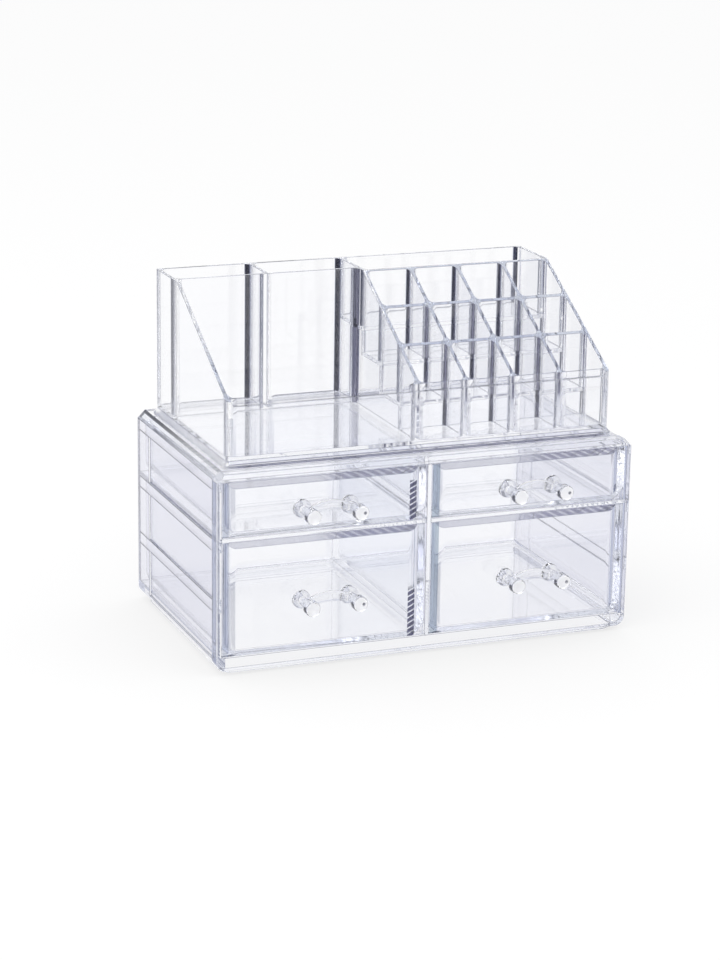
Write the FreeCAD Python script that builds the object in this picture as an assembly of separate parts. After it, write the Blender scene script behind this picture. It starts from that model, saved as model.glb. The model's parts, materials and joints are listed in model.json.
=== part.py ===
import FreeCAD, Part
import math
import os

os.makedirs("parts", exist_ok=True)

# Driving dimensions, all in mm. X runs across the front, Y runs back, Z up.
case_width = 240.0
case_depth = 142.6
case_bottom = 2.7  # underside of the case, above the foot ring
case_top = 111.0
wall = 2.0
frame_proud = 0.8  # how far the front frame stands out past the side walls
frame_depth = 8.0
frame_top_bar = 4.3
frame_bottom_bar = 7.6
chamfer = 4.4  # along the long top edges
inner_chamfer = 2.2
bottom_round = 5.0  # along the long bottom edges
edge_round = 0.7
plate = 2.1  # top plate, floor and shelves
partition_width = 2.4
back_panel_depth = 2.4
shelf_bottom = 74.0

panel_recess = 1.0
panel_height = 26.4
panel_pitch = 33.3
panel_first = 7.4
panel_back_margin = 21.0

foot_inset = 4.6
foot_wall = 2.0
foot_corner = 7.0

side_clearance = 0.4
slide_clearance = 0.3
drawer_setback = 0.8
drawer_wall = 2.0
drawer_front = 2.4
drawer_floor = 2.3
drawer_corner = 7.0  # inside, at the four upright corners
drawer_cove = 6.6  # inside, where the floor meets the sides and the back
lip_height = 4.0
lip_depth = 3.5
upper_drawer_top = 106.2
lower_drawer_top = 73.6

handle_spacing = 26.7
handle_reach = 18.5  # from the front frame to the tip of the knobs
lower_handle_height = 38.6
upper_handle_height = 88.9
disc_radius = 5.0
disc_depth = 3.6
neck_radius = 2.5
knob_radius = 4.2
knob_depth = 4.4
knob_edge = 0.8  # rounding round the knob's flat face
peg_radius = 1.4
peg_clearance = 0.05
bar_end_height = 4.4
bar_depth = 3.6
bar_rise = 2.2  # of its lower edge
bar_swell = 1.4  # more rise along its upper edge
bar_centre = 7.6  # ahead of the front frame

tray_width = 221.4
tray_front = 12.0  # behind the face of the front frame
tray_depth = 121.5
tray_top = 193.4
tray_lip = 143.8  # top of the low front wall
slant_foot = 146.6  # where the sloping tops reach the front
slant_start = 95.8  # behind the face of the front frame
tray_corner = 4.5  # inside, at the upright corners
slot_corner = 3.0
tray_outer_corner = 1.6
tray_floor_top = 116.3
flare_out = 2.4
flare_height = 3.6
flare_corner = 5.5
cross_wall = 102.5  # front face of the wall behind the open bin
slot_back = 94.6  # front face of the wall behind the slots
slot_pitch = 27.4
row_floors = (147.0, 130.8, tray_floor_top)
shelf_floor = 160.8
column_count = 4
block_left = -2.7  # left face of the slot block
back_divider = -57.0  # left face of the divider in the back row

# Places worked out from them. The origin is under the middle of the bounding box.
front = handle_reach / 2 - case_depth / 2
back = front + case_depth
half_width = case_width / 2
shell_half = half_width - frame_proud
inner_half = shell_half - wall
floor_top = case_bottom + frame_bottom_bar
frame_opening_top = case_top - frame_top_bar
ceiling = case_top - plate
back_panel_front = back - back_panel_depth
shelf_top = shelf_bottom + plate
drawer_width = inner_half - partition_width / 2 - 2 * side_clearance
drawer_middle = (inner_half + partition_width / 2) / 2
drawer_face = front + drawer_setback
drawer_back = back_panel_front - 1.2
tray_half = tray_width / 2
tray_face = front + tray_front
tray_back = tray_face + tray_depth


def box(x0, x1, y0, y1, z0, z1):
    """A block between two corners."""
    return Part.makeBox(x1 - x0, y1 - y0, z1 - z0, FreeCAD.Vector(x0, y0, z0))


def upright_edges(solid):
    """Every straight edge that runs along Z."""
    found = []
    for edge in solid.Edges:
        start, end = edge.Vertexes[0].Point, edge.Vertexes[-1].Point
        if abs(start.x - end.x) < 1e-6 and abs(start.y - end.y) < 1e-6:
            found.append(edge)
    return found


def rounded_box(x0, x1, y0, y1, z0, z1, radius):
    """A block with its four upright edges rounded."""
    block = box(x0, x1, y0, y1, z0, z1)
    return block.makeFillet(radius, upright_edges(block))


def save(shape, node):
    """Writes one sub-part."""
    shape.exportStep("parts/" + node + ".step")
    print(node, "%.1f mm3" % shape.Volume)


def case_profile(half, low, high, cut, bend, y):
    """The cross-section of the case in XZ: chamfered above, rounded below."""
    middle = bend * (1 - math.sqrt(0.5))
    points = {
        "low_left": (-half + bend, low),
        "low_right": (half - bend, low),
        "bend_right": (half - middle, low + middle),
        "side_right": (half, low + bend),
        "cut_right": (half, high - cut),
        "high_right": (half - cut, high),
        "high_left": (-half + cut, high),
        "cut_left": (-half, high - cut),
        "side_left": (-half, low + bend),
        "bend_left": (-half + middle, low + middle),
    }
    at = {name: FreeCAD.Vector(x, y, z) for name, (x, z) in points.items()}
    edges = [
        Part.makeLine(at["low_left"], at["low_right"]),
        Part.Arc(at["low_right"], at["bend_right"], at["side_right"]).toShape(),
        Part.makeLine(at["side_right"], at["cut_right"]),
        Part.makeLine(at["cut_right"], at["high_right"]),
        Part.makeLine(at["high_right"], at["high_left"]),
        Part.makeLine(at["high_left"], at["cut_left"]),
        Part.makeLine(at["cut_left"], at["side_left"]),
        Part.Arc(at["side_left"], at["bend_left"], at["low_left"]).toShape(),
    ]
    return Part.Face(Part.Wire(edges))


def chamfered_opening(y0, y1):
    """The room inside the case, whose two upper corners are cut at 45 degrees."""
    outline = [
        (-inner_half, floor_top),
        (inner_half, floor_top),
        (inner_half, ceiling - inner_chamfer),
        (inner_half - inner_chamfer, ceiling),
        (-inner_half + inner_chamfer, ceiling),
        (-inner_half, ceiling - inner_chamfer),
    ]
    points = [FreeCAD.Vector(x, y0, z) for x, z in outline]
    face = Part.Face(Part.makePolygon(points + points[:1]))
    return face.extrude(FreeCAD.Vector(0, y1 - y0, 0))


def make_case_shell():
    """Sides, top and floor in one sleeve, with recessed panels on both sides."""
    start = front + frame_depth
    profile = case_profile(shell_half, case_bottom, case_top, chamfer, bottom_round, start)
    shell = profile.extrude(FreeCAD.Vector(0, back - start, 0))
    tunnel = chamfered_opening(start, back)
    under_half = half_width - foot_inset - foot_wall
    underside = box(-under_half, under_half, start, back - foot_inset - foot_wall,
                    case_bottom, floor_top - plate)
    shell = shell.cut(tunnel).cut(underside)
    for row in range(3):
        low = panel_first + row * panel_pitch
        for side in (-1, 1):
            outer = side * (shell_half + 1)
            inner = side * (shell_half - panel_recess)
            shell = shell.cut(box(min(outer, inner), max(outer, inner),
                                  start - 1, back - panel_back_margin,
                                  low, low + panel_height))
    return shell


def make_front_frame():
    """The deep bezel round the mouth of the case."""
    profile = case_profile(half_width, case_bottom, case_top, chamfer, bottom_round + 0.8, front)
    ring = profile.extrude(FreeCAD.Vector(0, frame_depth, 0))
    face_edges = [e for e in ring.Edges if e.BoundBox.YMax < front + 1e-3]
    ring = ring.makeFillet(edge_round, face_edges)
    mouth = box(-inner_half, inner_half, front - 1, front + frame_depth + 1,
                floor_top, frame_opening_top)
    return ring.cut(mouth)


def make_foot_ring():
    """The low plinth that the case stands on, set in from its edges."""
    reach = half_width - foot_inset
    outer = rounded_box(-reach, reach, front + foot_inset, back - foot_inset,
                        0, case_bottom, foot_corner)
    inner = rounded_box(-reach + foot_wall, reach - foot_wall,
                        front + foot_inset + foot_wall, back - foot_inset - foot_wall,
                        -1, case_bottom + 1, foot_corner - foot_wall)
    ring = outer.cut(inner)
    low_edges = [e for e in ring.Edges if e.BoundBox.ZMax < 1e-3]
    return ring.makeFillet(0.5, low_edges)


def make_back_panel():
    """The flat panel that closes the case behind the drawers."""
    return chamfered_opening(back_panel_front, back)


def make_partition():
    """The upright between the drawers, notched to pass under the frame's top bar."""
    outline = [
        (front, floor_top),
        (back_panel_front, floor_top),
        (back_panel_front, ceiling),
        (front + frame_depth, ceiling),
        (front + frame_depth, frame_opening_top),
        (front, frame_opening_top),
    ]
    points = [FreeCAD.Vector(-partition_width / 2, y, z) for y, z in outline]
    face = Part.Face(Part.makePolygon(points + points[:1]))
    return face.extrude(FreeCAD.Vector(partition_width, 0, 0))


def make_shelf(side):
    """The shelf between an upper and a lower drawer."""
    inner = side * partition_width / 2
    outer = side * inner_half
    shelf = box(min(inner, outer), max(inner, outer), front, back_panel_front,
                shelf_bottom, shelf_top)
    nose = [e for e in shelf.Edges
            if e.BoundBox.YMax < front + 1e-3 and e.BoundBox.XLength > 10]
    return shelf.makeFillet(0.4, nose)


def tub_block(x0, x1, y1, z0, z1, corner, bend):
    """A block with rounded upright and lower edges, which runs out past the drawer's front."""
    block = rounded_box(x0, x1, drawer_face - 3 * corner, y1, z0, z1, corner)
    lower = [e for e in block.Edges if e.BoundBox.ZMax < z0 + 1e-3]
    return block.makeFillet(bend, lower)


def make_drawer(side, low, high, handle_height):
    """A tub with rounded lower edges behind a flat front, with a lip and two handle holes."""
    middle = side * drawer_middle
    x0, x1 = middle - drawer_width / 2, middle + drawer_width / 2
    inner_x0, inner_x1 = x0 + drawer_wall, x1 - drawer_wall
    inner_face = drawer_face + drawer_front
    tub = tub_block(x0, x1, drawer_back, low, high,
                    drawer_corner + drawer_wall, drawer_cove + drawer_wall)
    tub = tub.common(box(x0, x1, drawer_face + drawer_front / 2, drawer_back, low, high))
    plate = rounded_box(x0, x1, drawer_face, inner_face, low, high, 0.6)
    hollow = tub_block(inner_x0, inner_x1, drawer_back - drawer_wall,
                       low + drawer_floor, high + 10, drawer_corner, drawer_cove)
    hollow = hollow.common(rounded_box(inner_x0, inner_x1, inner_face, drawer_back + drawer_corner,
                                       low, high + 10, drawer_corner))
    drawer = plate.fuse(tub).cut(hollow)
    lip_outline = [
        (inner_face - 0.5, high),
        (inner_face + lip_depth, high),
        (inner_face, high - lip_height),
        (inner_face - 0.5, high - lip_height),
    ]
    points = [FreeCAD.Vector(inner_x0, y, z) for y, z in lip_outline]
    lip = Part.Face(Part.makePolygon(points + points[:1]))
    lip = lip.extrude(FreeCAD.Vector(inner_x1 - inner_x0, 0, 0))
    drawer = drawer.fuse(lip).removeSplitter()
    for end in (-1, 1):
        hole = Part.makeCylinder(
            peg_radius + peg_clearance, drawer_front + 2,
            FreeCAD.Vector(middle + end * handle_spacing / 2, drawer_face - 1, handle_height),
            FreeCAD.Vector(0, 1, 0))
        drawer = drawer.cut(hole)
    return drawer


def handle_post(x, height):
    """One turned post along the Y axis: peg, domed disc, neck and flat-faced knob."""
    tip = front - handle_reach
    disc_edge = drawer_face - 0.6
    disc_front = drawer_face - disc_depth
    knob_back = tip + knob_depth
    neck_end = knob_back + knob_radius - neck_radius
    diagonal = math.sqrt(0.5)

    def at(radius, y):
        return FreeCAD.Vector(radius, y, 0)

    def lines(*points):
        return [Part.makeLine(a, b) for a, b in zip(points, points[1:])]

    end = at(0, drawer_face + drawer_front)
    rim = at(disc_radius, disc_edge)
    shoulder = at(neck_radius, disc_front)
    dome = at(neck_radius + (disc_radius - neck_radius) * diagonal,
              disc_edge + (disc_front - disc_edge) * diagonal)
    knob_side = at(knob_radius, tip + knob_edge)
    face_rim = at(knob_radius - knob_edge, tip)
    rounding = at(knob_radius - knob_edge * (1 - diagonal), tip + knob_edge * (1 - diagonal))
    edges = lines(end, at(peg_radius, end.y), at(peg_radius, drawer_face),
                  at(disc_radius, drawer_face), rim)
    edges.append(Part.Arc(rim, dome, shoulder).toShape())
    edges += lines(shoulder, at(neck_radius, neck_end), at(knob_radius, knob_back), knob_side)
    edges.append(Part.Arc(knob_side, rounding, face_rim).toShape())
    edges += lines(face_rim, at(0, tip), end)
    profile = Part.Face(Part.Wire(edges))
    post = profile.revolve(FreeCAD.Vector(0, 0, 0), FreeCAD.Vector(0, 1, 0), 360)
    post.rotate(FreeCAD.Vector(0, 0, 0), FreeCAD.Vector(0, 1, 0), 90)
    post.translate(FreeCAD.Vector(x, 0, height))
    return post


def make_handle(side, height):
    """Two posts joined at their necks by an arched bar."""
    middle = side * drawer_middle
    reach = handle_spacing / 2 - 0.8
    low = height - bar_end_height / 2
    high = height + bar_end_height / 2
    y = front - bar_centre - bar_depth / 2

    def at(x, z):
        return FreeCAD.Vector(middle + x, y, z)

    face = Part.Face(Part.Wire([
        Part.Arc(at(-reach, high), at(0, high + bar_rise + bar_swell), at(reach, high)).toShape(),
        Part.makeLine(at(reach, high), at(reach, low)),
        Part.Arc(at(reach, low), at(0, low + bar_rise), at(-reach, low)).toShape(),
        Part.makeLine(at(-reach, low), at(-reach, high)),
    ]))
    bar = face.extrude(FreeCAD.Vector(0, bar_depth, 0))
    long_edges = [e for e in bar.Edges if e.BoundBox.XLength > 10]
    handle = bar.makeFillet(bar_depth * 0.42, long_edges)
    for end in (-1, 1):
        handle = handle.fuse(handle_post(middle + end * handle_spacing / 2, height))
    return handle


def slant_height(y):
    """Height of the sloping wall tops at a place behind the tray's front."""
    rise = (tray_top - slant_foot) / (slant_start - tray_front)
    return slant_foot + rise * (y - tray_front)


def tray_block():
    """The tray's outer form before its compartments are opened."""
    outline = [
        (tray_face, case_top),
        (tray_face, slant_foot),
        (front + slant_start, tray_top),
        (tray_back, tray_top),
        (tray_back, case_top),
    ]
    points = [FreeCAD.Vector(-tray_half, y, z) for y, z in outline]
    face = Part.Face(Part.makePolygon(points + points[:1]))
    block = face.extrude(FreeCAD.Vector(tray_width, 0, 0))
    return block.makeFillet(tray_outer_corner, upright_edges(block))


def tray_flare():
    """The skirt that spreads at the foot of the tray."""
    grown = flare_out
    solid = rounded_box(-tray_half - grown, tray_half + grown,
                        tray_face - grown, tray_back + grown,
                        case_top, case_top + flare_height, flare_corner)
    top_edges = [e for e in solid.Edges if e.BoundBox.ZMin > case_top + flare_height - 1e-3]
    return solid.makeChamfer(grown - 0.1, top_edges)


def slot_columns():
    """The left and right faces of the slot columns."""
    right = tray_half - wall
    width = (right - block_left - wall * column_count) / column_count
    spans = []
    for column in range(column_count):
        left = block_left + wall + column * (width + wall)
        spans.append((left, left + width))
    return spans


def tray_hollows():
    """Every compartment as a block with rounded upright corners."""
    left = -tray_half + wall
    right = tray_half - wall
    over = tray_top + 5
    back_face = tray_back - wall
    cross_back = front + cross_wall + wall
    hollows = [
        rounded_box(left, back_divider, cross_back, back_face, tray_floor_top, over, tray_corner),
        rounded_box(back_divider + wall, block_left, cross_back, back_face,
                    tray_floor_top, over, tray_corner),
        rounded_box(block_left + wall, right, front + slot_back + wall, back_face,
                    shelf_floor, over, tray_corner),
        rounded_box(left, block_left, tray_face + wall, front + cross_wall,
                    tray_floor_top, over, tray_corner),
    ]
    for row, floor in enumerate(row_floors):
        far = front + slot_back - row * slot_pitch
        near = far - slot_pitch + wall
        for x0, x1 in slot_columns():
            hollows.append(rounded_box(x0, x1, near, far, floor, over, slot_corner))
    return hollows


def tray_undersides():
    """The open spaces below the raised floors and the base."""
    right = tray_half - wall
    back_face = tray_back - wall
    base = tray_floor_top - wall
    left = block_left + wall
    steps = [box(-right, right, tray_face + wall, back_face, case_top - 1, base)]
    lows = (row_floors[1] - wall, row_floors[0] - wall, shelf_floor - wall)
    for step, height in enumerate(lows):
        near = front + slot_back + wall - (2 - step) * slot_pitch
        steps.append(box(left, right, near, back_face, base - 1, height))
    return steps


def make_tray():
    """The lift-off tray: bin, back row and twelve stepped slots."""
    tray = tray_block().fuse(tray_flare())
    for hollow in tray_hollows():
        tray = tray.cut(hollow)
    for space in tray_undersides():
        tray = tray.cut(space)
    notch_half = tray_half - wall - 1.0
    notch = box(-notch_half, notch_half, tray_face - 1, tray_face + wall,
                tray_lip, slant_height(tray_front + wall) + 5)
    rise = [e for e in notch.Edges
            if e.BoundBox.YLength > 1 and e.BoundBox.ZMax < tray_lip + 1e-3]
    rise = [e for e in rise if e.BoundBox.XLength < 1e-3]
    notch = notch.makeFillet(2.6, rise)
    return tray.cut(notch).removeSplitter()


save(make_case_shell(), "case_shell")
save(make_front_frame(), "front_frame")
save(make_foot_ring(), "foot_ring")
save(make_back_panel(), "back_panel")
save(make_partition(), "centre_partition")
for side_name, side_sign in (("left", -1), ("right", 1)):
    save(make_shelf(side_sign), side_name + "_shelf")
    rows = (("upper", shelf_top, upper_drawer_top, upper_handle_height),
            ("lower", floor_top, lower_drawer_top, lower_handle_height))
    for row_name, rest, top_height, grip_height in rows:
        node = row_name + "_" + side_name
        low = rest + slide_clearance
        save(make_drawer(side_sign, low, top_height, grip_height), node + "_drawer")
        save(make_handle(side_sign, grip_height), node + "_handle")
save(make_tray(), "top_tray")
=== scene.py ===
import json
import math

import bmesh
import bpy
from mathutils import Matrix, Vector


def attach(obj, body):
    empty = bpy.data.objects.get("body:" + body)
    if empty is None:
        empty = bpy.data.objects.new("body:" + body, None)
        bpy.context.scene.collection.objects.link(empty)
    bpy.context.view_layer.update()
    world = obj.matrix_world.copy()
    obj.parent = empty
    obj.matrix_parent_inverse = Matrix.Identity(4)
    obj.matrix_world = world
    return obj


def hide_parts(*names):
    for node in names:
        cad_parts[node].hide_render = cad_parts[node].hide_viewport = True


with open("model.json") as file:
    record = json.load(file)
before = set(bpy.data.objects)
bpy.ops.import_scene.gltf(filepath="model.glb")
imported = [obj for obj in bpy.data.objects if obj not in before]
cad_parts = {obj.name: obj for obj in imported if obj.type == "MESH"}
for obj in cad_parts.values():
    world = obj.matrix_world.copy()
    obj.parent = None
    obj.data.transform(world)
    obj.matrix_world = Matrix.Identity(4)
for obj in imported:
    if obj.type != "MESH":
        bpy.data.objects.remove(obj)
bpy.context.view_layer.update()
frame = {"nodes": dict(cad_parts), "record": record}
scene = bpy.context.scene
nodes = frame["nodes"]
record = frame["record"]


class Wire:
    # a node's output that can be used in arithmetic; each step adds its node
    def __init__(self, graph, socket):
        self.graph = graph
        self.socket = socket

    def math(self, operation, *values):
        return self.graph.node("ShaderNodeMath", {"operation": operation}, dict(enumerate(values)))

    def __add__(self, other):
        return self.math("ADD", self, other)

    def __radd__(self, other):
        return self.math("ADD", other, self)

    def __sub__(self, other):
        return self.math("SUBTRACT", self, other)

    def __rsub__(self, other):
        return self.math("SUBTRACT", other, self)

    def __mul__(self, other):
        return self.math("MULTIPLY", self, other)

    def __rmul__(self, other):
        return self.math("MULTIPLY", other, self)

    def __truediv__(self, other):
        return self.math("DIVIDE", self, other)

    def __rtruediv__(self, other):
        return self.math("DIVIDE", other, self)

    def __pow__(self, other):
        return self.math("POWER", self, other)

    def __rpow__(self, other):
        return self.math("POWER", other, self)

    def __neg__(self):
        return self.math("MULTIPLY", self, -1)

    def absolute(self):
        return self.math("ABSOLUTE", self)

    def sine(self):
        return self.math("SINE", self)

    def orMore(self, other):
        return self.math("MAXIMUM", self, other)

    def fade(self, low, high):
        # 0 below low, 1 above high and smooth between
        return self.graph.node("ShaderNodeMapRange", {"interpolation_type": "SMOOTHSTEP"},
                               {"Value": self, "From Min": low, "From Max": high})

    def band(self, low, high, soft):
        # 1 from low to high, with a soft end past each
        return self.fade(low - soft, low) * (1 - self.fade(high, high + soft))

    def blend(self, first, second):
        # the first colour where this is 0 and the second where it is 1
        return self.graph.node("ShaderNodeMix", {"data_type": "RGBA"}, {0: self, 6: first, 7: second}, 2)


class Graph:
    # the node tree of a material or of the world, emptied first
    def __init__(self, owner):
        owner.use_nodes = True
        self.tree = owner.node_tree
        self.tree.nodes.clear()

    def node(self, kind, settings=None, inputs=None, output=0):
        made = self.tree.nodes.new(kind)
        for name, value in (settings or {}).items():
            setattr(made, name, value)
        for name, value in (inputs or {}).items():
            target = made.inputs[name]
            if isinstance(value, Wire):
                self.tree.links.new(value.socket, target)
            else:
                target.default_value = value
        if not made.outputs:
            return made
        return Wire(self, made.outputs[output])

    def split(self, vector):
        parts = self.node("ShaderNodeSeparateXYZ", None, {0: vector})
        return [Wire(self, output) for output in parts.socket.node.outputs]

    def mix(self, amount, first, second):
        return self.node("ShaderNodeMixShader", None, {0: amount, 1: first, 2: second})

    def ray(self, kind):
        return self.node("ShaderNodeLightPath", None, None, "Is " + kind + " Ray")

    def throughPlastic(self):
        # rays that have met clear plastic
        return self.ray("Glossy").orMore(self.ray("Transmission"))


class Surface(Graph):
    # a plastic's node tree, with where each point lies on the piece and which way it faces
    def __init__(self, material):
        super().__init__(material)
        self.spot = self.node("ShaderNodeTexCoord", None, None, "Object")
        self.place = self.split(self.spot)
        self.facing = self.split(self.node("ShaderNodeTexCoord", None, None, "Normal"))

    def attribute(self, name):
        return self.node("ShaderNodeAttribute", {"attribute_name": name}, None, "Fac")

    def clouds(self, scale, detail):
        return self.node("ShaderNodeTexNoise", None, {"Vector": self.spot, "Scale": scale, "Detail": detail})

    def seeThrough(self, amount, body):
        return self.mix(amount, body, self.node("ShaderNodeBsdfTransparent"))


def span(node, axis):
    places = [corner[axis] for corner in nodes[node].bound_box]
    return min(places), max(places)


cameraPlace = {
    "eye": Vector((-0.5584, -1.3677, 0.5038)),
    "right": Vector((0.92946, -0.36893, 0.0)),  # of the level camera
    "up": Vector((0.10157, 0.25588, 0.96136)),
    "roll": math.radians(0.88),
    "lens": 103.65,
    "sensor": 36.0,
    "near": 0.01,
    "far": 50.0,
}


def makeCamera(place):
    data = bpy.data.cameras.new("camera")
    data.sensor_width = place["sensor"]
    data.lens = place["lens"]
    data.clip_start = place["near"]
    data.clip_end = place["far"]
    turn = place["roll"]
    right = math.cos(turn) * place["right"] + math.sin(turn) * place["up"]
    up = -math.sin(turn) * place["right"] + math.cos(turn) * place["up"]
    matrix = Matrix((right, up, right.cross(up))).transposed().to_4x4()
    matrix.translation = place["eye"]
    camera = bpy.data.objects.new("camera", data)
    camera.matrix_world = matrix
    scene.collection.objects.link(camera)
    scene.camera = camera


makeCamera(cameraPlace)
print("camera ready")

floorLooks = {
    "half": 12.0,
    "colour": (0.95, 0.95, 0.955, 1),
    "glow": 0.72,  # how far the camera sees plain white in place of the lit floor
    "glowInPlastic": 0.9,
    "paperMiddle": (-0.25, -0.5),
    "paperRadius": 0.9,  # of the white paper that the plastic shows; past it the plastic shows the room
    "paperSoft": 0.05,
}

worldLooks = {
    "skyForLight": 0.92,
    "cardSoft": 3.0,
    "cardPowers": (1.14, 1.08, 0.84),  # red, green and blue of the darks, so that they are bluish
}

# dark cards round the white room, in degrees; they draw the edges of the clear plastic
cards = {
    "besideBackdrop": {"azimuth": 47, "half": 11.5, "low": -70, "high": 17, "depth": 0.93},
    "rightWall": {"azimuth": 82, "half": 23, "low": -70, "high": 14, "depth": 0.65},
    "openTable": {"azimuth": 186, "half": 153, "low": -95, "high": -9, "depth": 0.5},
    "leftCard": {"azimuth": -22, "half": 11, "low": -8, "high": 16, "depth": 0.35},
    "lowBackdrop": {"azimuth": 22, "half": 12, "low": 3, "high": 9, "depth": 0.45},
    "aboveBackdrop": {"azimuth": 2, "half": 12, "low": 17, "high": 64, "depth": 0.7},
}

keyLamp = {
    "place": Vector((-0.9, -0.4, 1.8)),
    "aim": Vector((0, 0, 0.05)),
    "size": (1.2, 1.2),
    "power": 12,
}


def floorPaper(looks):
    material = bpy.data.materials.new("floorPaper")
    graph = Graph(material)
    paper = graph.node("ShaderNodeBsdfDiffuse", None, {"Color": looks["colour"]})
    glow = graph.node("ShaderNodeEmission", None, {"Color": (1, 1, 1, 1), "Strength": 1.0})
    room = graph.node("ShaderNodeBsdfTransparent")
    x, y = graph.split(graph.node("ShaderNodeTexCoord", None, None, "Object"))[:2]
    across = x - looks["paperMiddle"][0]
    along = y - looks["paperMiddle"][1]
    radius = (across * across + along * along) ** 0.5
    pastPaper = radius.fade(looks["paperRadius"], looks["paperRadius"] + looks["paperSoft"])
    toCamera = graph.mix(looks["glow"], paper, glow)
    inPlastic = graph.mix(pastPaper, graph.mix(looks["glowInPlastic"], paper, glow), room)
    direct = graph.mix(graph.ray("Camera"), paper, toCamera)
    shown = graph.mix(graph.throughPlastic(), direct, inPlastic)
    graph.node("ShaderNodeOutputMaterial", None, {"Surface": shown})
    return material


def makeFloor(looks):
    mesh = bpy.data.meshes.new("floor")
    shape = bmesh.new()
    bmesh.ops.create_grid(shape, x_segments=1, y_segments=1, size=looks["half"])
    shape.to_mesh(mesh)
    shape.free()
    mesh.materials.append(floorPaper(looks))
    floor = bpy.data.objects.new("floor", mesh)
    scene.collection.objects.link(floor)


def cardMask(direction, card, soft):
    x, y, z = direction
    turn = math.radians(card["azimuth"])
    facing = (x * math.sin(turn) + y * math.cos(turn)) / (x * x + y * y) ** 0.5
    sides = facing.fade(math.cos(math.radians(card["half"] + soft / 2)),
                        math.cos(math.radians(card["half"] - soft / 2)))
    low, high = (math.sin(math.radians(max(card[key], -90))) for key in ("low", "high"))
    return sides * z.band(low, high, math.radians(soft))


def makeWorld(looks):
    world = bpy.data.worlds.new("studio")
    scene.world = world
    graph = Graph(world)
    direction = graph.split(graph.node("ShaderNodeTexCoord", None, None, "Generated"))
    room = 1.0
    for card in cards.values():
        room = room * (1 - card["depth"] * cardMask(direction, card, looks["cardSoft"]))
    through = graph.throughPlastic()
    toCamera = graph.ray("Camera")
    plain = toCamera + looks["skyForLight"] * (1 - toCamera - through)
    channels = {place: plain + through * room ** power for place, power in enumerate(looks["cardPowers"])}
    colour = graph.node("ShaderNodeCombineColor", None, channels)
    background = graph.node("ShaderNodeBackground", None, {"Color": colour, "Strength": 1.0})
    graph.node("ShaderNodeOutputWorld", None, {"Surface": background})


def makeLamp(name, looks):
    data = bpy.data.lights.new(name, "AREA")
    data.shape = "RECTANGLE"
    data.size, data.size_y = looks["size"]
    data.energy = looks["power"]
    lamp = bpy.data.objects.new(name, data)
    lamp.location = looks["place"]
    lamp.rotation_euler = (looks["aim"] - looks["place"]).to_track_quat("-Z", "Y").to_euler()
    scene.collection.objects.link(lamp)


makeFloor(floorLooks)
makeWorld(worldLooks)
makeLamp("keyLamp", keyLamp)
print("studio ready")

# the part of a face's normal in some direction: a mask starts at the first value, full at the second
turned = {
    "square": (0.78, 0.97),  # to one of the axes
    "straight": (0.9, 0.97),
    "nearlyStraight": (0.85, 0.95),
    "slantFrom": (0.74, 0.82),  # slanting tops lie between these two
    "slantTo": (0.92, 0.96),
    "slope": (0.3, 0.4),  # of the product of two parts, which is largest at 45 degrees
}
markCut = (0.4, 0.6)  # between an unmarked face and a marked one

# painted shade: dark lines along the outside of the case where the side panels' ledges show through the
# clear wall
caseLooks = {
    "lineHeights": (0.1007, 0.0738, 0.0674, 0.0405, 0.0341),
    "lineHalf": 0.0003,
    "lineSoft": 0.0001,
    "lineFrom": -0.051,
    "lineTo": 0.0765,
    "lineEndSoft": 0.0005,
    "lineTint": (0.006, 0.006, 0.015, 1),
    "outside": (0.1187, 0.1189),  # how far out a face must be
    "sideways": (0.8, 0.95),  # the square of its normal's part across
}


def caseShadeLines(surface, tint, looks):
    px, py, pz = surface.place
    nx = surface.facing[0]
    low, high = looks["outside"]
    # painted shade lines on the outer faces that look left or right
    side = (nx * nx).fade(*looks["sideways"]) * (px * px).fade(low ** 2, high ** 2)
    lines = 0.0
    for height in looks["lineHeights"]:
        lines = lines + pz.band(height - looks["lineHalf"], height + looks["lineHalf"], looks["lineSoft"])
    lines = lines * py.band(looks["lineFrom"], looks["lineTo"], looks["lineEndSoft"])
    return (side * lines).blend(tint, looks["lineTint"])


# painted shade standing in for the drawers' side walls and inner corners as they show end on through the
# front, and painted shade on the lip
drawerLooks = {
    "skin": (0.0001, 0.0003),  # only this much of each front, from its face inwards
    "leftStart": 0.0004,
    "leftWidths": (0.0036, 0.0046),
    "leftTints": ((0.42, 0.46, 0.57, 1), (0.26, 0.33, 0.42, 1)),
    "rightWidth": 0.0048,
    "rightTint": (0.95, 0.95, 0.975, 1),
    "wallSoft": 0.0003,
    "stepStart": 0.0094,  # from the right end of the left drawers
    "stepWidth": 0.0038,
    "stepSoft": 0.0002,
    "stepTint": (0.02, 0.02, 0.05, 1),
    "lowerTop": 0.036,  # where the steps end on the lower drawer and on the upper one
    "lowerSoft": 0.006,
    "upperTop": 0.098,
    "upperSoft": 0.001,
    "stepsPerMetre": 330.0,
    "stepLean": 0.5,
    "treads": (-0.85, -0.6),  # cuts a thin pale tread out of each step
    "lipReach": 0.008,
    "lipSoft": 0.0005,
    "lipTint": (0.56, 0.56, 0.63, 1),
    "lipShadeTint": (0.14, 0.14, 0.23, 1),
    "lipShadeFrom": 0.045,
    "lipShadeTo": 0.004,
    "lipShadeSoft": 0.02,
    "lipStripes": (-1.3, 0.3),  # how deep the stripes in the shaded end of the lip are
}


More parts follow.
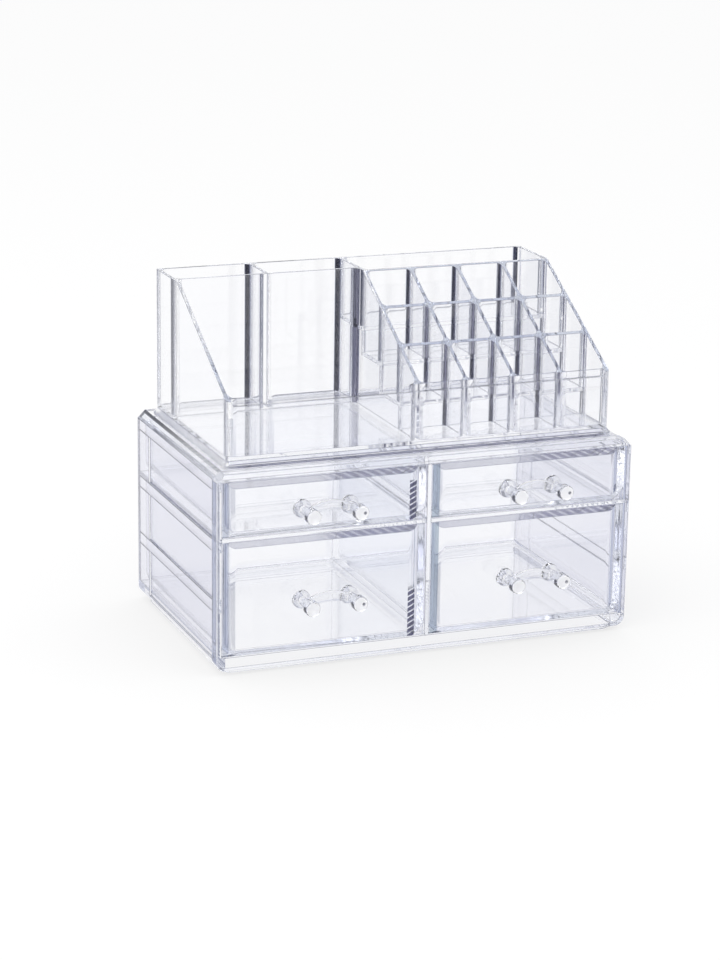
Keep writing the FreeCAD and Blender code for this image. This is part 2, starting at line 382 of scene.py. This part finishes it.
def drawerShade(surface, tint, looks):
    px, py, pz = surface.place
    ny, nz = surface.facing[1:]
    face = span("lower_left_drawer", 1)[0]
    low, high = looks["skin"]
    frontFace = (-ny).fade(*turned["straight"]) * (1 - py.fade(face + low, face + high))
    lipShade = 0.0
    for side, width, colour in zip(("left", "right"), looks["leftWidths"], looks["leftTints"]):
        start, end = span("lower_" + side + "_drawer", 0)
        leftWall = px.band(start + looks["leftStart"], start + width, looks["wallSoft"])
        rightWall = px.band(end - looks["rightWidth"], end, looks["wallSoft"])
        # painted shade where each drawer's side walls show end on through the front
        tint = (frontFace * leftWall).blend(tint, colour)
        tint = (frontFace * rightWall).blend(tint, looks["rightTint"])
        lipShade = lipShade + px.band(end - looks["lipShadeFrom"], end - looks["lipShadeTo"],
                                      looks["lipShadeSoft"])
    waves = 2 * math.pi * looks["stepsPerMetre"]
    lean = looks["stepLean"] * px
    treads = ((pz - lean) * waves).sine()
    stripes = ((pz + lean) * waves).sine()
    stepLow = span("lower_left_drawer", 0)[1] - looks["stepStart"]
    onLower = 1 - pz.fade(looks["lowerTop"], looks["lowerTop"] + looks["lowerSoft"])
    onUpper = pz.band(span("upper_left_drawer", 2)[0], looks["upperTop"], looks["upperSoft"])
    steps = (onLower + onUpper) * px.band(stepLow, stepLow + looks["stepWidth"], looks["stepSoft"])
    # painted dark steps of shade where the inner corners show through the front
    tint = (frontFace * steps * treads.fade(*looks["treads"])).blend(tint, looks["stepTint"])
    # painted shade on the lip, darker and striped near each drawer's right end
    nearLip = 1 - py.fade(face + looks["lipReach"], face + looks["lipReach"] + looks["lipSoft"])
    lip = (-ny * nz).fade(*turned["slope"]) * nearLip
    lipTint = (lipShade * stripes.fade(*looks["lipStripes"])).blend(looks["lipTint"], looks["lipShadeTint"])
    return lip.blend(tint, lipTint)


# the turned knobs: painted shade as dark outlines and a dark crescent behind each disc, a painted reflection
# as white on the flat discs, and a dark spot on the right-hand ones
handleLooks = {
    "outline": (0.62, 0.85),
    "outlineTint": (0.12, 0.13, 0.2, 1),
    "crescentWay": (-0.9, -0.44),  # across and up
    "crescentTurn": (0.6, 0.8),
    "crescentReach": 0.003,
    "crescentSoft": 0.0004,
    "crescentTint": (0.004, 0.004, 0.01, 1),
    "discReach": 0.0004,  # the painted reflection's white on a disc, from its face inwards
    "discSoft": 0.0002,
    "discTint": (0.97, 0.97, 0.98, 1),
    "spotPlace": (0.0017, 0.0),  # from the middle of the right-hand knob's disc
    "spotSize": 0.0008,
    "spotSoft": 0.0002,
    "spotTint": (0.02, 0.02, 0.04, 1),
    "flatReach": 0.0001,  # faces this near the front belong to a disc
}


def handleShade(surface, tint, looks):
    nx, nz = surface.facing[0], surface.facing[2]
    front = span("lower_left_handle", 1)[0] + looks["crescentReach"]
    near = 1 - surface.place[1].fade(front, front + looks["crescentSoft"])
    across, up = looks["crescentWay"]
    crescent = near * (nx * across + nz * up).fade(*looks["crescentTurn"])
    # painted shade: dark where the knob's faces turn away, and a dark crescent behind each disc
    outline = surface.node("ShaderNodeLayerWeight", None, {"Blend": 0.5}, "Facing")
    tint = outline.fade(*looks["outline"]).blend(tint, looks["outlineTint"])
    return crescent.blend(tint, looks["crescentTint"])


def knobMiddle(node, reach):
    # of the flat face at the front of the right-hand knob
    faces = nodes[node].data.polygons
    front = min(face.center.y for face in faces)
    middle = sum(span(node, 0)) / 2
    places = [(face.center, face.area) for face in faces
              if face.center.y < front + reach and face.center.x > middle]
    total = sum(area for centre, area in places)
    return [sum(centre[axis] * area for centre, area in places) / total for axis in (0, 2)]


def knobDiscs(surface, body, white, looks):
    px, py, pz = surface.place
    spots = 0.0
    for node in nodes:
        if node.endswith("_handle"):
            middle = knobMiddle(node, looks["flatReach"])
            across = px - (middle[0] + looks["spotPlace"][0])
            up = pz - (middle[1] + looks["spotPlace"][1])
            away = (across * across + up * up) ** 0.5
            spots = spots + 1 - away.fade(looks["spotSize"], looks["spotSize"] + looks["spotSoft"])
    # a white disc standing in for a reflection on each knob's flat face, with a dark spot on the right-hand
    # knobs
    face = surface.node("ShaderNodeBsdfDiffuse", None, {"Color": looks["discTint"]})
    dark = surface.node("ShaderNodeBsdfDiffuse", None, {"Color": looks["spotTint"]})
    front = span("lower_left_handle", 1)[0] + looks["discReach"]
    disc = (-surface.facing[1]).fade(*turned["straight"]) * (1 - py.fade(front, front + looks["discSoft"]))
    return surface.mix(disc * white, body, surface.mix(spots, face, dark))


# painted shade on the tray: its dark corners and the dark line along the foot of its walls
trayLooks = {
    "cornerTint": (0.07, 0.07, 0.12, 1),
    "lineLow": 0.1112,
    "lineHigh": 0.1114,
    "lineSoft": 0.0001,
    "lineHalf": 0.104,
    "lineEndSoft": 0.01,
    "lineTint": (0.1, 0.1, 0.18, 1),
}


def trayShade(surface, tint, looks):
    px, pz = surface.place[0], surface.place[2]
    # painted shade on the corners marked dark, and a dark line along the foot of the front-facing walls
    tint = surface.attribute("corner").fade(*markCut).blend(tint, looks["cornerTint"])
    line = pz.band(looks["lineLow"], looks["lineHigh"], looks["lineSoft"])
    line = line * px.band(-looks["lineHalf"], looks["lineHalf"], looks["lineEndSoft"])
    front = (-surface.facing[1]).fade(*turned["nearlyStraight"])
    return (line * front).blend(tint, looks["lineTint"])


# each plastic's own painted shade
details = {
    "case_plastic": (caseShadeLines, caseLooks),
    "drawer_plastic": (drawerShade, drawerLooks),
    "handle_plastic": (handleShade, handleLooks),
    "tray_plastic": (trayShade, trayLooks),
}

# the values that every clear plastic starts from
clearBase = {
    "refraction": 1.49,
    "clearness": 1,
    "tint": (0.985, 0.988, 1.0, 1),
    "cloudTint": (0.97, 0.973, 0.992, 1),
    "cloudDetail": 2.0,
    "cloudRange": (0.35, 0.7),
    "rippleDepth": 0.0001,
    "rippleDetail": 1.0,
    "haze": 0.002,
    "sideFrom": 0,  # faces farther out than this, and facing left or right, have the painted side shade
    "sideSoft": 0.0003,
    "sideShadeTint": (0.97, 0.975, 0.99, 1),
    "edgeShadeTint": (0.16, 0.17, 0.22, 1),
    "depthColour": (0.55, 0.60, 0.756, 1),
    "shadowTint": (0.94, 0.942, 0.955, 1),
    "discReflection": 0,  # painted reflection on the knobs' flat faces
    "openCorners": 0,  # how see-through the marked corners are
    "openChamfer": 0,  # how see-through the slanting faces at the upper left are
    "chamferFade": (-0.06, 0.03),  # from the back, where they aren't, to the front
}

plastics = {
    "case_plastic": {
        "cloudScale": 9.0,
        "rippleScale": 9.0,
        "sideFrom": 0.117,
        "sideShadeTint": (0.82, 0.82, 0.885, 1),
        "edgeShadeTint": (0.07, 0.075, 0.12, 1),
        "slopeShadeTint": (0.95, 0.96, 0.985, 1),
        "topShadeTint": (0.95, 0.96, 0.985, 1),
        "depthDensity": 3.0,
        "openChamfer": 0.58,
    },
    "frame_plastic": {
        "cloudScale": 11.0,
        "rippleScale": 10.0,
        "sideFrom": 0.119,
        "sideShadeTint": (0.22, 0.25, 0.40, 1),
        "slopeShadeTint": (0.93, 0.94, 0.97, 1),
        "topShadeTint": (0.85, 0.87, 0.93, 1),
        "depthDensity": 2.0,
    },
    "partition_plastic": {
        "cloudTint": (0.975, 0.978, 0.993, 1),
        "cloudScale": 12.0,
        "rippleScale": 10.0,
        "slopeShadeTint": (0.95, 0.955, 0.98, 1),
        "topShadeTint": (0.9, 0.91, 0.95, 1),
        "depthDensity": 0.5,
    },
    "drawer_plastic": {
        "tint": (0.995, 0.996, 1.0, 1),
        "cloudTint": (0.983, 0.985, 0.996, 1),
        "cloudScale": 14.0,
        "rippleScale": 8.0,
        "rippleDepth": 0.00015,
        "edgeShadeTint": (0.22, 0.23, 0.30, 1),
        "slopeShadeTint": (0.94, 0.945, 0.97, 1),
        "topShadeTint": (0.94, 0.945, 0.97, 1),
        "depthDensity": 1.5,
    },
    "handle_plastic": {
        "tint": (1.0, 1.0, 1.0, 1),
        "cloudTint": (0.97, 0.972, 0.985, 1),
        "cloudScale": 60.0,
        "rippleScale": 40.0,
        "rippleDepth": 0.00004,
        "clearness": 0.95,
        "sideShadeTint": (0.99, 0.991, 0.998, 1),
        "slopeShadeTint": (0.93, 0.94, 0.97, 1),
        "topShadeTint": (0.93, 0.94, 0.97, 1),
        "depthDensity": 4.0,
        "discReflection": 0.6,
    },
    "tray_plastic": {
        "tint": (0.99, 0.992, 1.0, 1),
        "cloudTint": (0.98, 0.982, 0.995, 1),
        "cloudScale": 10.0,
        "rippleScale": 9.0,
        "sideShadeTint": (0.98, 0.983, 0.995, 1),
        "edgeShadeTint": (0.2, 0.21, 0.28, 1),
        "slopeShadeTint": (0.985, 0.988, 1.0, 1),
        "topShadeTint": (0.36, 0.40, 0.50, 1),
        "depthDensity": 1.5,
        "openCorners": 0.6,
        "openChamfer": 0.6,
    },
}


# a plastic's base colour: a random mottle of tone, with painted shade on side faces, sloping faces, slanting
# tops and softened edges, and each plastic's own painted marks
def plasticTintAndShade(surface, name, values, mottle):
    nx, ny, nz = (part.absolute() for part in surface.facing)
    up = surface.facing[2]
    sloping = 1 - nx.orMore(ny).orMore(nz).fade(*turned["square"])
    slantTop = up.fade(*turned["slantFrom"]) * (1 - up.fade(*turned["slantTo"]))
    outer = surface.place[0].absolute().fade(values["sideFrom"], values["sideFrom"] + values["sideSoft"])
    tint = mottle.blend(values["tint"], values["cloudTint"])
    # painted shade on outer faces that look left or right
    tint = (outer * nx.fade(*turned["straight"])).blend(tint, values["sideShadeTint"])
    # painted shade on rounded and bevelled faces and on slanting tops
    tint = sloping.blend(tint, values["slopeShadeTint"])
    tint = slantTop.blend(tint, values["topShadeTint"])
    if name in details:
        addDetail, looks = details[name]
        tint = addDetail(surface, tint, looks)
    # painted shade on the faces of the softened edges
    return surface.attribute("edge").blend(tint, values["edgeShadeTint"])


def clearPlastic(name, values):
    material = bpy.data.materials.new(name)
    surface = Surface(material)
    mottle = surface.clouds(values["cloudScale"], values["cloudDetail"]).fade(*values["cloudRange"])
    ripple = surface.node("ShaderNodeBump", None, {
        "Height": surface.clouds(values["rippleScale"], values["rippleDetail"]),
        "Strength": 1.0, "Distance": values["rippleDepth"]})
    body = surface.node("ShaderNodeBsdfPrincipled", None, {
        "Base Color": plasticTintAndShade(surface, name, values, mottle), "Roughness": values["haze"] * mottle,
        "IOR": values["refraction"], "Transmission Weight": values["clearness"], "Normal": ripple})
    if values["openCorners"]:
        corner = (-surface.attribute("corner")).fade(*markCut)
        body = surface.seeThrough(corner * values["openCorners"], body)
    if values["openChamfer"]:
        chamfer = (-surface.facing[0] * surface.facing[2]).fade(*turned["slope"])
        chamfer = chamfer * (-surface.place[1]).fade(*values["chamferFade"])
        body = surface.seeThrough(chamfer * values["openChamfer"], body)
    # painted reflection on the knobs' flat faces
    if values["discReflection"]:
        body = knobDiscs(surface, body, values["discReflection"], handleLooks)
    shade = surface.node("ShaderNodeBsdfTransparent", None, {"Color": values["shadowTint"]})
    depth = surface.node("ShaderNodeVolumeAbsorption", None, {
        "Color": values["depthColour"], "Density": values["depthDensity"]})
    surface.node("ShaderNodeOutputMaterial", None, {
        "Surface": surface.mix(surface.ray("Shadow"), body, shade), "Volume": depth})
    return material


finishes = {slot: clearPlastic(slot, {**clearBase, **values}) for slot, values in plastics.items()}
print("plastics ready:", len(finishes))

moulding = {
    "mergeReach": 1e-6,
    "flatAngle": math.radians(0.2),  # faces that meet at less than this become one
    "sharpAngle": math.radians(32),
    "edgeRound": 0.00018,
    "edgeSteps": 2,
    "airGap": 0.00002,  # so that two pieces that touch stay two surfaces
}

# the tray's upright rounded corners: ones with painted shade, which face left, and see-through ones
cornerMarks = {
    "upright": 0.1,
    "least": 0.46,  # how far a corner's face must be turned from both walls
    "half": 0.1088,  # only corners nearer the middle than this
    "slimFrom": 0.103,  # along the right wall only a slim strip of each corner has painted shade
    "slimTurn": (0.62, 0.8),
}


def sharpEdges(shape, angle):
    return [edge for edge in shape.edges
            if len(edge.link_faces) == 2 and edge.calc_face_angle(0) > angle]


def markCorners(shape, marks):
    corner = shape.faces.layers.float.new("corner")
    slimLow, slimHigh = marks["slimTurn"]
    for face in shape.faces:
        across, deep, up = face.normal
        place = face.calc_center_median().x
        rounded = abs(up) < marks["upright"] and min(abs(across), abs(deep)) > marks["least"]
        if not rounded or abs(place) > marks["half"]:
            continue
        # corners facing left get painted shade; the rest are made see-through
        dark = across < 0 and (place < marks["slimFrom"] or slimLow < -across < slimHigh)
        face[corner] = 1.0 if dark else -1.0


def clearShape(node, values, softened, marked):
    # a merged copy of a frame node with softened edges, just inside the node's own faces
    shape = bmesh.new()
    shape.from_mesh(nodes[node].data)
    bmesh.ops.remove_doubles(shape, verts=shape.verts, dist=values["mergeReach"])
    bmesh.ops.dissolve_limit(shape, angle_limit=values["flatAngle"],
                             verts=shape.verts, edges=shape.edges)
    onEdge = shape.faces.layers.float.new("edge")
    if softened:
        made = bmesh.ops.bevel(shape, geom=sharpEdges(shape, values["sharpAngle"]), affect="EDGES",
                               offset=values["edgeRound"], segments=values["edgeSteps"], profile=0.5,
                               material=-1, clamp_overlap=False)
        for face in made["faces"]:
            face[onEdge] = 1.0
    shape.normal_update()
    if marked:
        markCorners(shape, cornerMarks)
    moves = [(vert, vert.normal * vert.calc_shell_factor()) for vert in shape.verts]
    for vert, step in moves:
        vert.co -= step * values["airGap"]
    mesh = bpy.data.meshes.new(node + "_clear")
    shape.to_mesh(mesh)
    shape.free()
    return mesh


def clearPiece(node, body, slot, values):
    mesh = clearShape(node, values, not node.endswith("_handle"), slot == "tray_plastic")
    if "custom_normal" in mesh.attributes:
        mesh.attributes.remove(mesh.attributes["custom_normal"])
    mesh.materials.clear()
    mesh.materials.append(finishes[slot])
    mesh.shade_smooth()
    mesh.set_sharp_from_angle(angle=values["sharpAngle"])
    piece = bpy.data.objects.new(node + "_clear", mesh)
    scene.collection.objects.link(piece)
    flat = piece.modifiers.new("flatFaces", "WEIGHTED_NORMAL")
    flat.keep_sharp = True
    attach(piece, body)
    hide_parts(node)
    print(node, len(mesh.polygons), "faces in", slot)


slotOfNode = {subpart["node"]: subpart["material_slot"] for subpart in record["subparts"]}
bodyOfNode = {node: body for body, members in record["behaviour"]["bodies"].items()
              for node in members}
for node, body in sorted(bodyOfNode.items()):
    clearPiece(node, body, slotOfNode[node], moulding)
print("pieces ready:", len(bodyOfNode))

# a ray crosses many clear walls before it reaches the room
clearCrossings = 96
scene.cycles.max_bounces = clearCrossings
scene.cycles.transmission_bounces = clearCrossings
scene.cycles.glossy_bounces = clearCrossings
scene.cycles.transparent_max_bounces = 64
scene.cycles.caustics_refractive = False
scene.cycles.caustics_reflective = False
scene.view_settings.view_transform = "Standard"
